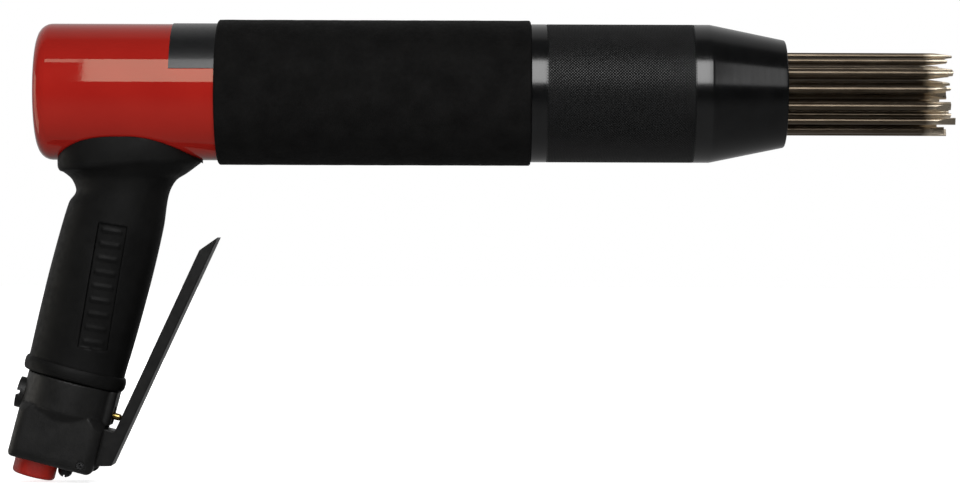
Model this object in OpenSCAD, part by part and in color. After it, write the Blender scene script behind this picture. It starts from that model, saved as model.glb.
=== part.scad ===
// Pistol-grip needle scaler, in millimetres.
// The barrel lies along X with the needles at +X, Z is up, and the origin is on the barrel axis
// at the shoulder where the front tube leaves the grip sleeve.

/* [Barrel] */
// Outside diameter of the grip sleeve
sleeve_d = 62.5; // [60:0.5:66]
// Length of the grip sleeve
sleeve_l = 134; // [124:1:150]
// Wall of the grip sleeve
sleeve_wall = 3.2; // [2.6:0.1:4]
// Outside diameter of the rear housing
housing_d = 58.5; // [57:0.5:61.5]
// Length of the rear housing behind the sleeve
housing_l = 76; // [72:1:86]
// Wall of the rear housing
housing_wall = 5.2; // [4.6:0.1:6]
// Thickness of the closed rear end
housing_end = 10; // [8:0.5:12]
// Corner radius round the rear face
housing_corner_r = 6; // [3:0.5:8]
// Length of the body tube's spigot inside the rear housing
tube_spigot_l = 16; // [12:0.5:18]
// Wall of the body tube's rear spigot
tube_spigot_wall = 3.4; // [3:0.1:4]

/* [Nose] */
// Outside diameter of the front tube
nose_d = 59.3; // [58:0.1:62]
// Length of the straight part of the front tube
nose_l = 76.7; // [70:0.1:90]
// Length of the taper in front of the straight part
taper_l = 31.3; // [26:0.1:40]
// Diameter at the small end of the taper
taper_d = 46.4; // [44:0.1:50]
// Length of the plain band behind the knurl
rear_band_l = 6.8; // [4:0.1:10]
// Length of the plain band ahead of the knurl
front_band_l = 9.3; // [6:0.1:12]
// Length of the front tube's spigot inside the body tube
nose_spigot_l = 18; // [14:0.5:22]
// Wall of the front tube's spigot
nose_spigot_wall = 4; // [3.6:0.1:4.4]

/* [Needles] */
// Diameter of a needle
needle_d = 3; // [2.8:0.1:3.2]
// Length of a needle ahead of its head
needle_shank_l = 177; // [162:1:197]
// Length of the ground chisel tip
tip_l = 8; // [4:0.5:12]
// Needles in the outer ring
outer_count = 14; // [10:1:14]
// Needles in the middle ring
middle_count = 10; // [6:1:10]
// Needles in the inner ring
inner_count = 4; // [3:1:4]
// Most that a loose needle lies back from its holder at rest
needle_loose = 5; // [2:0.5:6]
// Thickness of the needle holder
holder_t = 12; // [9:0.5:15]

/* [Hammer] */
// Wall of the hammer cylinder
cylinder_wall = 4; // [3.5:0.25:5]
// Length of the isolation spring in its place
isolation_l = 29; // [25:0.5:31]
// Length of the closed cylinder cap
cylinder_cap_l = 18; // [14:0.5:20]
// Length of the piston
piston_l = 50; // [40:1:56]
// Diameter of the anvil's shank
anvil_shank_d = 20; // [16:0.5:22]
// Length of the anvil's shank
anvil_shank_l = 40.5; // [36:0.5:46]
// Length of the bush that guides the anvil
front_bush_l = 28; // [20:0.5:32]

/* [Handle] */
// Distance along the barrel from the rear face to the handle axis
handle_from_rear = 45.7; // [42:0.1:50]
// Rake of the handle towards the rear
rake = 14.4; // [10:0.1:18]
// Station of the grip's lower end, down the handle from the barrel axis
grip_end = 128; // [120:1:140]
// Length of the saddle flange along the barrel
flange_l = 61.9; // [56:0.1:66]
// Width of the saddle flange
flange_w = 44.8; // [42:0.2:47]
// Length of the grip's section at the neck
neck_l = 41.4; // [38:0.2:43]
// Length of the grip's section at the palm swell
palm_l = 43.4; // [40:0.2:47]
// Width of the grip's section at the palm swell
palm_w = 36.6; // [34:0.2:40]
// Outside diameter of the tube inside the handle
core_d = 20; // [18:0.5:22]
// Bore of the tube inside the handle
core_bore_d = 12; // [10:0.5:14]

/* [Throttle] */
// Height of the valve body below the grip
body_h = 37; // [34:0.5:42]
// Diameter of the valve body's round upper part
body_d = 39; // [38:0.5:42]
// Width of the valve body's flat lower part
body_w = 32; // [30:0.5:36]
// Reach of the lower part ahead of the handle axis
body_front = 19; // [18:0.1:20]
// Reach of the lower part behind the handle axis
body_rear = 18.2; // [17.6:0.1:19.2]
// Depth of the throttle valve's axis below the grip
valve_drop = 10.5; // [9.5:0.5:12]
// Length of the lever from its pivot to its tip
lever_l = 112.8; // [100:0.2:120]
// Width of the lever
lever_w = 16; // [13:0.5:17]
// Thickness of the lever's blade
lever_t = 5; // [4.6:0.1:5.4]
// Lean of the lever away from the handle
lever_lean = 10.4; // [9:0.1:13]
// Diameter of the lever's hollow pivot pin
pin_d = 3.2; // [2.6:0.1:4]
// Diameter of the valve stem
stem_d = 3; // [2.6:0.1:3.4]

/* [Air inlet] */
// Diameter of the inlet's threaded wall
inlet_d = 11.44; // [10:0.02:12]
// Length of the inlet's threaded wall
inlet_l = 16; // [13:0.5:17]
// Wall of the inlet bush
bush_wall = 2.2; // [1.8:0.1:2.6]
// Length of the bush standing out of the valve body
bush_out = 4; // [3:0.5:5]
// Wall of the inlet cap
cap_wall = 1.25; // [1:0.05:2]
// Height of the inlet cap
inlet_cap_h = 6.8; // [6.4:0.1:9]

/* [Hidden] */

// Fineness of round forms
round_fn = 72;
corner_fn = 6;
wire_sides = 6;
curl_rings = 12;
grip_sides = 40;

// Fits, and the overrun of every cut
overrun = 1;
press_gap = 0.02;
run_gap = 0.05;
seat_gap = 0.1;
clear_gap = 0.3;

// Seal rings fill their grooves apart from a small share
seal_r = 0.9;
small_seal_r = 0.65;
seal_fill_share = 0.97;

// Rear housing and body tube
housing_r = housing_d / 2;
chamber_r = housing_r - housing_wall;
tube_spigot_r = chamber_r - seat_gap;
tube_bore_r = tube_spigot_r - tube_spigot_wall;
sleeve_r = sleeve_d / 2;
sleeve_edge_r = 1.2;
tube_r = sleeve_r - sleeve_wall - run_gap;
socket_wall = 2.45;
socket_r = tube_r - socket_wall;
sleeve_rear_x = -sleeve_l;
rear_x = sleeve_rear_x - housing_l;
chamber_x = rear_x + housing_end;
tube_rear_x = sleeve_rear_x - tube_spigot_l;
tube_seal_x = (tube_rear_x + sleeve_rear_x) / 2;
front_buffer_t = 4;
rear_buffer_t = 3;
rear_buffer_hole_r = 8;

// Front tube
nose_r = nose_d / 2;
knurl_drop = 0.25;
mouth_edge_r = 1;
mouth_chamfer = 0.6;
nose_spigot_r = socket_r - run_gap;
nose_rear_bore_r = nose_spigot_r - nose_spigot_wall;
holder_step = 1;
nose_bore_r = nose_rear_bore_r + holder_step;
nose_seal_x = -nose_spigot_l / 2;
buffer_front_x = -nose_spigot_l;
buffer_rear_x = buffer_front_x - front_buffer_t;
front_x = nose_l + taper_l + mouth_edge_r;
seat_back = 6.7;
seat_front_x = nose_l - seat_back;
seat_t = 2;

// Needles: their rings fill the room inside the return spring
spring_room = 4.65;
mouth_clear = 1.15;
needle_r = needle_d / 2;
bundle_r = nose_bore_r - spring_room;
mouth_r = bundle_r + mouth_clear;
outer_ring_r = bundle_r - needle_r;
middle_ring_share = 0.636;
inner_ring_share = 0.281;
outer_phase = 8;
middle_phase = 8;
inner_phase = 10;
tip_turn = 137.5;
tip_edge_share = 0.3;
head_lip = 0.7;
head_l = 3;
head_r = needle_r + head_lip;
needle_l = head_l + needle_shank_l;
loose_shares = [0.1, 0.7, 0.3, 0.95, 0.5, 0, 0.8, 0.4, 1, 0.2, 0.6, 0.05, 0.85, 0.45];
holder_rear_x = 4;
holder_front_x = holder_rear_x + holder_t;
needle_rear_x = holder_rear_x - head_l;
needle_stroke = 6.5;
needle_retract = needle_loose + needle_stroke;
needle_spring_wire = 2.6;
needle_spring_gap = 0.6;
needle_spring_r = nose_bore_r - needle_spring_wire / 2 - needle_spring_gap;
needle_spring_turns = 9;

// Hammer: cylinder, piston and anvil
annulus = 2.5;
cylinder_r = tube_bore_r - annulus;
cylinder_bore_r = cylinder_r - cylinder_wall;
collar_r = tube_bore_r - run_gap;
collar_l = 12;
collar_inset = 10;
rear_collar_x = tube_rear_x + collar_inset;
cylinder_seal_x = rear_collar_x + collar_l / 2;
flute_r = 1.6;
flute_count = 6;
flute_phase = 30;
port_r = 2;
port_share = 0.45;
spring_rear_x = chamber_x + rear_buffer_t;
cap_rear_x = spring_rear_x + isolation_l;
cap_front_x = cap_rear_x + cylinder_cap_l;
register_l = 4;
cap_feed_r = 3;
cap_boss_r = 11;
cap_boss_l = 5;
isolation_wire = 3.2;
isolation_turns = 5;
isolation_r = cylinder_r - isolation_wire / 2 - clear_gap;
piston_gap = 6;
piston_rear_x = cap_front_x + register_l + piston_gap;
piston_front_x = piston_rear_x + piston_l;
piston_groove_l = 3;
piston_groove_depth = 0.8;
piston_groove_shares = [0.2, 0.5, 0.8];
piston_bore_r = 5;
piston_bore_share = 0.6;
anvil_shank_r = anvil_shank_d / 2;
anvil_lift = 0.5;
anvil_head_x = buffer_front_x + anvil_lift;
anvil_front_x = needle_rear_x - needle_retract;
anvil_rear_x = anvil_head_x - anvil_shank_l;
anvil_margin = 0.45;
anvil_r = outer_ring_r + head_r + anvil_margin;
anvil_chamfer = 1;

// Handle: its own frame has u forward, y across and w down the handle axis
handle_x = rear_x + handle_from_rear;
core_r = core_d / 2;
boss_wall = 3;
boss_clear = 1.5;
boss_clear_r = cylinder_r + boss_clear;
core_top = (boss_clear_r + core_r * sin(rake)) / cos(rake);
core_seat = 2;
core_end = grip_end + core_seat;
core_seal_up = 6;
core_seal_w = core_end - core_seal_up;

// Grip: sections down the handle, as [station share, swell share] between neck and heel, and for the
// flare as [station share, swell share, share added at the rear] between flange and neck
flange_rim = 3.7;
flange_rim_r = 1.6;
flange_shift = 0.65;
flange_tilt_share = 1.24;
flange_front_power = 2.1;
flange_rear_power = 3.1;
round_power = 2;
flange_top_w = (sqrt(pow(housing_r, 2) - pow(flange_w / 2, 2)) - overrun) / cos(rake);
flange_rim_w = (housing_r + flange_rim - flange_rim_r) / cos(rake);
neck_drop = 8;
neck_w = flange_rim_w + flange_rim_r + neck_drop;
neck_width_share = 0.955;
flare_shares = [[0.28, 0.42, 0.1], [0.6, 0.12, 0.07]];
swell_shares = [[0.16, 0.35], [0.45, 1], [0.72, 0.85], [0.97, 0.27]];
heel_swell_share = 0.25;
bead_up = 6.4;
bead_h = 4.4;
bead_lip = 1.3;
bead_w = grip_end - bead_up;
bead_angles = [20, 55, 90, 125, 160];
skirt_in = 1;
panel_l = 54;
panel_w = 12.6;
panel_depth = 1.4;
panel_ahead = 3.9;
panel_turn = -5;
panel_mid_share = 0.545;

// Valve body
body_r = body_d / 2;
body_end = grip_end + body_h;
socket_neck_r = core_r + boss_wall;
socket_neck_l = 8;
shoulder_share = 0.36;
shoulder_w = grip_end + body_h * shoulder_share;
shoulder_l = 4;
body_corner_r = 5;
body_blend_l = 9;
body_blend_r = 6;
seam_turn = 20;
body_edge_r = 4;
body_rear_edge_r = 2.5;
body_front_edge_r = 3;
gland_out = 1.6;
gland_front = body_front + gland_out;
gland_w = 18;
gland_edge_r = 2.5;

// Lever, in its own frame about its pivot
pivot_up = 3.6;
pivot_back = 5.3;
pivot_u = body_front - pivot_back;
pivot_w = body_end - pivot_up;
pin_r = pin_d / 2;
pin_bore_share = 0.5;
pin_inset = 0.7;
tongue_r = 4;
slot_clear = 0.6;
slot_back_u = pivot_u - tongue_r - slot_clear;
lever_out = 11.5;
lever_in = lever_out - lever_t;
lever_bevel = 8.6;
lever_heel = 4.6;
lever_foot = 2.4;
lever_foot_rise = 2.2;
tongue_clear = 0.1;
tongue_low = 16.5;
lever_web = 2;
lever_side = 2.2;
channel_low = 32;
channel_end = 16;

// Throttle valve, along u
valve_w = grip_end + valve_drop;
stem_r = stem_d / 2;
stem_gap = 0.2;
stem_rise = pivot_w - valve_w;
stem_tip_u = pivot_u + (lever_in + stem_rise * sin(lever_lean)) / cos(lever_lean) - stem_gap;
seat_u = -2;
throat_r = 3;
throat_l = 10;
gland_u = seat_u + throat_l;
gland_r = 4.1;
slot_above = stem_rise - gland_r - seat_gap;
tongue_top = slot_above - tongue_clear;
stem_seal_l = 3.4;
stem_bush_u = gland_u + stem_seal_l;
stem_bush_inset = 0.6;
riser_r = 2.6;
riser_u = seat_u + throat_l / 2;
valve_chamber_r = 5.9;
valve_cap_r = 6.7;
valve_cap_t = 3.4;
valve_cap_u = -sqrt(pow(body_r, 2) - pow(valve_cap_r, 2));
valve_plug_l = 4;
cap_slot_w = 2;
cap_slot_depth = 1.4;
valve_head_r = 4.6;
valve_head_t = 2.8;
valve_head_u = seat_u - seat_gap;
stem_tail = 0.6;
valve_wire = 0.9;
valve_spring_r = 3.8;
valve_spring_turns = 4;

// Air inlet, down the handle
inlet_r = inlet_d / 2;
bush_r = inlet_r + bush_wall;
bush_end = body_end + bush_out;
bush_top = bush_end - inlet_l;
bush_throat_r = 4;
strainer_t = 1.4;
strainer_hole_r = 0.8;
strainer_count = 8;
strainer_ring_share = 0.55;
inlet_cap_bore_r = bush_r + seat_gap;
inlet_cap_r = inlet_cap_bore_r + cap_wall;
inlet_cap_lift = 0.3;
inlet_cap_edge_r = 1.6;
inlet_cap_end = 1.8;
screw_back = 7.3;
screw_u = pivot_u - screw_back;
screw_head_r = 3.2;
screw_head_h = 4.4;
screw_r = 1.3;
screw_l = 8;
screw_slot_w = 0.9;
screw_slot_depth = 1.2;
screw_cap_gap = 0.43;
inlet_u = screw_u - screw_head_r - screw_cap_gap - inlet_cap_r;

// Points of an arc about a centre
function arc(cx, cy, r, from, to) =
    [for (k = [0:corner_fn])
        let (a = from + (to - from) * k / corner_fn)
        [cx + r * cos(a), cy + r * sin(a)]];

// Triangles that join rings of n points into a closed skin
function skin_sides(rings, n) =
    [for (k = [0:rings - 2], s = [0:n - 1], half = [0, 1])
        let (a = k * n + s, b = k * n + (s + 1) % n, c = a + n, d = b + n)
        half == 0 ? [a, b, d] : [a, d, c]];

function skin_ends(rings, n) =
    [for (s = [1:n - 2], end = [0, 1])
        let (last = (rings - 1) * n)
        end == 0 ? [0, s + 1, s] : [last, last + s, last + s + 1]];

function skin(rings, n) = concat(skin_sides(rings, n), skin_ends(rings, n));

// Rise of a coil's centre line after some turns: the end turns lie close and the rest spread
coil_space = 0.6;
function coil_rise(turn, turns, wire, height) =
    let (close = wire + coil_space, open = (height - wire - 2 * close) / (turns - 2))
    turn <= 1 ? close * turn
        : turn >= turns - 1 ? height - wire - close * (turns - turn)
        : close + open * (turn - 1);

function coil_path(r, wire, height, turns) =
    [for (k = [0:turns * curl_rings])
        let (turn = k / curl_rings)
        [r * cos(360 * turn), r * sin(360 * turn), wire / 2 + coil_rise(turn, turns, wire, height)]];

function coil_way(path, k) = path[min(k + 1, len(path) - 1)] - path[max(k - 1, 0)];

function coil_ring(at, way, r) =
    let (side = cross(way, [0, 0, 1]) / norm(cross(way, [0, 0, 1])), up = cross(side, way) / norm(way))
    [for (s = [0:wire_sides - 1])
        at + r * cos(360 * s / wire_sides) * side + r * sin(360 * s / wire_sides) * up];

// Least gap of a coil to itself, over points at least half a turn apart
function coil_gap(path, wire) =
    min([for (i = [0:len(path) - 1], j = [i + curl_rings / 2:1:len(path) - 1]) norm(path[i] - path[j])])
        - wire;

// A compression spring standing on its end
module coil(name, r, wire, height, turns) {
    path = coil_path(r, wire, height, turns);
    echo(str(name, " least gap to itself"), coil_gap(path, wire));
    polyhedron(
        points = [for (k = [0:len(path) - 1]) each coil_ring(path[k], coil_way(path, k), wire / 2)],
        faces = skin(len(path), wire_sides));
}

// Local Z turned along the barrel, from station x
module along_barrel(x) {
    translate([x, 0, 0]) rotate([0, 90, 0]) children();
}

// A form turned about the barrel axis from [radius, station] points
module turned(points) {
    rotate([0, 90, 0]) rotate_extrude($fn = round_fn) polygon(points);
}

module barrel_rod(x0, x1, r) {
    along_barrel(x0) cylinder(h = x1 - x0, r = r, $fn = round_fn);
}

module barrel_ring(x0, x1, inner_r, outer_r) {
    turned([[inner_r, x0], [outer_r, x0], [outer_r, x1], [inner_r, x1]]);
}

// A seal of round section that fills a groove in a surface of radius r
module seal_ring(r, section_r) {
    rotate_extrude($fn = round_fn)
        translate([r - section_r, 0]) circle(r = section_r * seal_fill_share, $fn = round_fn);
}

// Points [radius, station] of a groove for such a seal, in order of rising station
function groove(r, x, section_r) =
    let (half = section_r + seat_gap, floor_r = r - 2 * section_r)
    [[r, x - half], [floor_r, x - half], [floor_r, x + half], [r, x + half]];

// The handle's frame: local X is u, local -Z is w
module in_handle() {
    translate([handle_x, 0, 0]) rotate([0, rake, 0]) children();
}

// A rod down the handle, from station w0 to w1
module post(u, w0, w1, r) {
    translate([u, 0, -w1]) cylinder(h = w1 - w0, r = r, $fn = round_fn);
}

// A rod along u, at station w
module spindle(u0, u1, w, r) {
    translate([u0, 0, -w]) rotate([0, 90, 0]) cylinder(h = u1 - u0, r = r, $fn = round_fn);
}

// A rod across the handle along y
module cross_rod(u, w, length, r) {
    translate([u, 0, -w]) rotate([90, 0, 0]) cylinder(h = length, r = r, center = true, $fn = round_fn);
}

// A rectangle with true round corners
module round_rect(x0, y0, x1, y1, r) {
    translate([x0 + r, y0]) square([x1 - x0 - 2 * r, y1 - y0]);
    translate([x0, y0 + r]) square([x1 - x0, y1 - y0 - 2 * r]);
    for (x = [x0 + r, x1 - r], y = [y0 + r, y1 - r]) translate([x, y]) circle(r = r, $fn = round_fn);
}

// Barrel casings

module rear_housing() {
    color("#b3241f") difference() {
        union() {
            difference() {
                turned(concat([[0, rear_x]],
                    arc(housing_r - housing_corner_r, rear_x + housing_corner_r, housing_corner_r, -90, 0),
                    [[housing_r, sleeve_rear_x], [0, sleeve_rear_x]]));
                barrel_rod(chamber_x, sleeve_rear_x + overrun, chamber_r);
            }
            intersection() {
                in_handle() post(0, 0, 2 * housing_r, core_r + boss_wall);
                barrel_rod(rear_x + housing_corner_r, sleeve_rear_x, housing_r - clear_gap);
            }
        }
        barrel_rod(chamber_x, sleeve_rear_x + overrun, boss_clear_r);
        in_handle() post(0, 0, 2 * housing_r, core_r + seat_gap);
    }
}

module body_tube() {
    color("#3a3b3d") turned(concat([[tube_bore_r, tube_rear_x], [tube_spigot_r, tube_rear_x]],
        groove(tube_spigot_r, tube_seal_x, seal_r),
        [[tube_spigot_r, sleeve_rear_x], [tube_r, sleeve_rear_x], [tube_r, 0], [socket_r, 0],
        [socket_r, buffer_rear_x], [tube_bore_r, buffer_rear_x]]));
}

module tube_seal() {
    color("#161616") along_barrel(tube_seal_x) seal_ring(tube_spigot_r, seal_r);
}

module grip_sleeve() {
    color("#121212") turned(concat([[tube_r + run_gap, sleeve_rear_x]],
        arc(sleeve_r - sleeve_edge_r, sleeve_rear_x + sleeve_edge_r, sleeve_edge_r, -90, 0),
        arc(sleeve_r - sleeve_edge_r, -sleeve_edge_r, sleeve_edge_r, 0, 90),
        [[tube_r + run_gap, 0]]));
}

module front_tube() {
    knurl_r = nose_r - knurl_drop;
    color("#26282a") turned(concat([[nose_rear_bore_r, buffer_front_x], [nose_spigot_r, buffer_front_x]],
        groove(nose_spigot_r, nose_seal_x, seal_r),
        [[nose_spigot_r, 0], [nose_r, 0], [nose_r, rear_band_l], [knurl_r, rear_band_l + knurl_drop],
        [knurl_r, nose_l - front_band_l - knurl_drop], [nose_r, nose_l - front_band_l],
        [nose_r, nose_l]],
        arc(taper_d / 2 - mouth_edge_r, nose_l + taper_l, mouth_edge_r, 0, 90),
        [[mouth_r + mouth_chamfer, front_x], [mouth_r, front_x - mouth_chamfer], [mouth_r, seat_front_x],
        [nose_bore_r, seat_front_x], [nose_bore_r, holder_rear_x], [nose_rear_bore_r, holder_rear_x]]));
}

module nose_seal() {
    color("#161616") along_barrel(nose_seal_x) seal_ring(nose_spigot_r, seal_r);
}

module front_buffer() {
    color("#202020") barrel_ring(buffer_rear_x, buffer_front_x, cylinder_r + clear_gap, socket_r - seat_gap);
}

module rear_buffer() {
    color("#202020") barrel_ring(chamber_x, spring_rear_x, rear_buffer_hole_r, chamber_r - clear_gap);
}

// Hammer

module isolation_spring() {
    color("#8d9094") along_barrel(spring_rear_x)
        coil("isolation_spring", isolation_r, isolation_wire, isolation_l, isolation_turns);
}

module hammer_cylinder() {
    port_x = cap_front_x + (buffer_rear_x - cap_front_x) * port_share;
    color("#a9acae") difference() {
        turned(concat([[cylinder_bore_r, cap_front_x], [cylinder_r, cap_front_x], [cylinder_r, rear_collar_x],
            [collar_r, rear_collar_x]],
            groove(collar_r, cylinder_seal_x, seal_r),
            [[collar_r, rear_collar_x + collar_l], [cylinder_r, rear_collar_x + collar_l],
            [cylinder_r, buffer_rear_x - collar_l], [collar_r, buffer_rear_x - collar_l],
            [collar_r, buffer_rear_x], [cylinder_bore_r, buffer_rear_x]]));
        for (k = [0:flute_count - 1]) rotate([flute_phase + 360 * k / flute_count, 0, 0]) {
            translate([0, 0, collar_r])
                barrel_rod(buffer_rear_x - collar_l - overrun, buffer_rear_x + overrun, flute_r);
            translate([port_x, 0, 0]) cylinder(h = cylinder_r + overrun, r = port_r, $fn = round_fn);
        }
    }
}

module cylinder_seal() {
    color("#161616") along_barrel(cylinder_seal_x) seal_ring(collar_r, seal_r);
}

module cylinder_cap() {
    register_r = cylinder_bore_r - press_gap;
    register_x = cap_front_x + register_l;
    color("#9a9da0") turned([[cap_feed_r, cap_rear_x - cap_boss_l], [cap_boss_r, cap_rear_x - cap_boss_l],
        [cap_boss_r, cap_rear_x], [cylinder_r, cap_rear_x], [cylinder_r, cap_front_x],
        [register_r, cap_front_x], [register_r, register_x], [cap_feed_r, register_x]]);
}

module front_bush() {
    color("#a07b45") barrel_ring(buffer_rear_x - front_bush_l, buffer_rear_x,
        anvil_shank_r + run_gap, cylinder_bore_r - press_gap);
}

module piston() {
    r = cylinder_bore_r - run_gap;
    color("#b9bcbe") difference() {
        barrel_rod(piston_rear_x, piston_front_x, r);
        barrel_rod(piston_rear_x - overrun, piston_rear_x + piston_l * piston_bore_share, piston_bore_r);
        for (share = piston_groove_shares) translate([piston_rear_x + piston_l * share, 0, 0])
            barrel_ring(-piston_groove_l / 2, piston_groove_l / 2, r - piston_groove_depth, r + overrun);
    }
}

module anvil() {
    color("#8f9295") turned([[0, anvil_rear_x], [anvil_shank_r - anvil_chamfer, anvil_rear_x],
        [anvil_shank_r, anvil_rear_x + anvil_chamfer], [anvil_shank_r, anvil_head_x],
        [anvil_r - anvil_chamfer, anvil_head_x], [anvil_r, anvil_head_x + anvil_chamfer],
        [anvil_r, anvil_front_x - anvil_chamfer], [anvil_r - anvil_chamfer, anvil_front_x],
        [0, anvil_front_x]]);
}

// Needles

// Children set round the barrel axis at ring_r, from station x, each told apart by $index
module needle_places(count, ring_r, phase, x) {
    for ($index = [0:count - 1])
        rotate([phase + 360 * $index / count, 0, 0]) translate([0, 0, ring_r]) along_barrel(x) children();
}

// One needle on its head, lying back by its own share, with the two flats of its chisel tip
module needle(first) {
    share = loose_shares[(first + $index) % len(loose_shares)];
    translate([0, 0, -needle_loose * share]) rotate([0, 0, tip_turn * $index]) difference() {
        union() {
            cylinder(h = head_l, r = head_r, $fn = round_fn);
            cylinder(h = needle_l, r = needle_r, $fn = round_fn);
        }
        for (side = [0, 1]) mirror([side, 0, 0]) rotate([90, 0, 0])
            linear_extrude(height = 2 * needle_d, center = true)
                polygon([[needle_r, needle_l - tip_l], [needle_d, needle_l - tip_l],
                    [needle_d, needle_l + overrun], [needle_r * tip_edge_share, needle_l + overrun],
                    [needle_r * tip_edge_share, needle_l]]);
    }
}

module needles_outer() {
    color("#6b625a") needle_places(outer_count, outer_ring_r, outer_phase, needle_rear_x) needle(0);
}

module needles_middle() {
    color("#6b625a")
        needle_places(middle_count, outer_ring_r * middle_ring_share, middle_phase, needle_rear_x) needle(5);
}

module needles_inner() {
    color("#6b625a")
        needle_places(inner_count, outer_ring_r * inner_ring_share, inner_phase, needle_rear_x) needle(9);
}

module holder_hole() {
    translate([0, 0, -overrun]) cylinder(h = holder_t + 2 * overrun, r = needle_r + seat_gap, $fn = round_fn);
}

module needle_holder() {
    color("#7d8083") difference() {
        barrel_rod(holder_rear_x, holder_front_x, nose_bore_r - run_gap);
        needle_places(outer_count, outer_ring_r, outer_phase, holder_rear_x) holder_hole();
        needle_places(middle_count, outer_ring_r * middle_ring_share, middle_phase, holder_rear_x)
            holder_hole();
        needle_places(inner_count, outer_ring_r * inner_ring_share, inner_phase, holder_rear_x) holder_hole();
    }
}

module needle_spring() {
    color("#8d9094") along_barrel(holder_front_x)
        coil("needle_spring", needle_spring_r, needle_spring_wire, seat_front_x - seat_t - holder_front_x,
            needle_spring_turns);
}

module spring_seat() {
    color("#7d8083") barrel_ring(seat_front_x - seat_t, seat_front_x, mouth_r, nose_bore_r - seat_gap);
}

// Handle

module handle_core() {
    color("#85888b") in_handle() rotate_extrude($fn = round_fn)
        polygon(concat([[core_bore_d / 2, -core_end], [core_r, -core_end]],
            groove(core_r, -core_seal_w, small_seal_r),
            [[core_r, -core_top], [core_bore_d / 2, -core_top]]));
}

module core_seal() {
    color("#161616") in_handle() translate([0, 0, -core_seal_w]) seal_ring(core_r, small_seal_r);
}

function mix(a, b, share) = a + (b - a) * share;

// A cosine or sine drawn out towards a squarer outline
function squared(value, power) = sign(value) * pow(abs(value), round_power / power);

// One section of the grip about the handle axis, level with the barrel where level is 1:
// an ellipse, or the flange's squarer outline where square is 1
function grip_ring(w, shift, length, width, level, square = 0) =
    [for (k = [0:grip_sides - 1])
        let (t = -360 * k / grip_sides,
            power = mix(round_power, cos(t) < 0 ? flange_rear_power : flange_front_power, square),
            along = length / 2 * squared(cos(t), power))
        [shift + along * cos(level * rake), width / 2 * squared(sin(t), power),
            -w + along * sin(level * rake)]];

function flange_ring(w, inset, level) =
    grip_ring(w, flange_shift + (w - flange_rim_w) * tan(rake), flange_l - 2 * inset, flange_w - 2 * inset,
        level, 1);

function grip_rings() =
    let (neck_width = palm_w * neck_width_share, last_rim_w = flange_rim_w + flange_rim_r)
    concat(
        [flange_ring(flange_top_w, 0, 1), flange_ring(flange_rim_w, 0, flange_tilt_share)],
        [for (a = [45, 75])
            flange_ring(flange_rim_w + flange_rim_r * sin(a), flange_rim_r * (1 - cos(a)),
                flange_tilt_share)],
        [for (s = flare_shares)
            let (rear = (flange_l - neck_l) * s[2])
            grip_ring(mix(last_rim_w, neck_w, s[0]), mix(flange_shift, 0, s[0]) - rear / 2,
                mix(neck_l, flange_l, s[1]) + rear, mix(neck_width, flange_w, s[1]), 1, s[1])],
        [grip_ring(neck_w, 0, neck_l, neck_width, 1)],
        [for (s = swell_shares)
            grip_ring(mix(neck_w, bead_w, s[0]), 0, mix(neck_l, palm_l, s[1]),
                mix(neck_width, palm_w, s[1]), 0)],
        [for (a = bead_angles)
            let (lip = 2 * bead_lip * sin(a))
            grip_ring(bead_w + bead_h * (1 - cos(a)) / 2, 0, mix(neck_l, palm_l, heel_swell_share) + lip,
                mix(neck_width, palm_w, heel_swell_share) + lip, 0)],
        [grip_ring(grip_end, 0, mix(neck_l, palm_l, heel_swell_share) - 2 * skirt_in,
            mix(neck_width, palm_w, heel_swell_share) - 2 * skirt_in, 0)]);

// The room sunk into one side of the grip, which keeps the grip's roundness in its floor
module panel_room() {
    difference() {
        translate([panel_ahead, palm_w / 2, -mix(neck_w, bead_w, panel_mid_share)]) rotate([0, panel_turn, 0])
            cube([panel_w, palm_w, panel_l], center = true);
        translate([0, 0, -grip_end]) linear_extrude(height = grip_end)
            polygon([for (k = [0:grip_sides - 1])
                let (t = 360 * k / grip_sides)
                [(palm_l / 2 - panel_depth) * cos(t), (palm_w / 2 - panel_depth) * sin(t)]]);
    }
}

module handle_grip() {
    rings = grip_rings();
    color("#171716") difference() {
        in_handle() difference() {
            polyhedron(points = [for (ring = rings) each ring], faces = skin(len(rings), grip_sides));
            post(0, 0, grip_end + overrun, core_r + seat_gap);
            post(0, grip_end - socket_neck_l, grip_end + overrun, socket_neck_r + seat_gap);
            for (side = [0, 1]) mirror([0, side, 0]) panel_room();
        }
        barrel_rod(rear_x - overrun, sleeve_rear_x + overrun, housing_r + seat_gap);
    }
}

// Valve body and throttle

// Outline of the valve body's lower part seen from the side, with a wide round under the lever's pivot
module body_side() {
    length = body_rear + body_front - body_rear_edge_r - body_front_edge_r;
    translate([-body_rear + body_rear_edge_r, -body_end]) square([length, body_h]);
    translate([-body_rear, -body_end + body_rear_edge_r])
        square([2 * body_rear_edge_r, body_h - body_rear_edge_r]);
    translate([-body_rear + body_rear_edge_r, -body_end + body_rear_edge_r])
        circle(r = body_rear_edge_r, $fn = round_fn);
    translate([body_front - body_front_edge_r, -body_end + body_front_edge_r]) {
        translate([-body_front_edge_r, 0]) square([2 * body_front_edge_r, body_h - body_front_edge_r]);
        circle(r = body_front_edge_r, $fn = round_fn);
    }
}

// A round bar that widens below the shoulder, which blends the lower part's corners into the round
module body_blend() {
    wide_r = body_r + body_blend_r;
    rotate([0, 0, seam_turn]) rotate_extrude($fn = round_fn)
        polygon([[0, -body_end - overrun], [wide_r, -body_end - overrun],
            [wide_r, -shoulder_w - body_blend_l], [body_r, -shoulder_w + overrun],
            [0, -shoulder_w + overrun]]);
}

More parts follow.
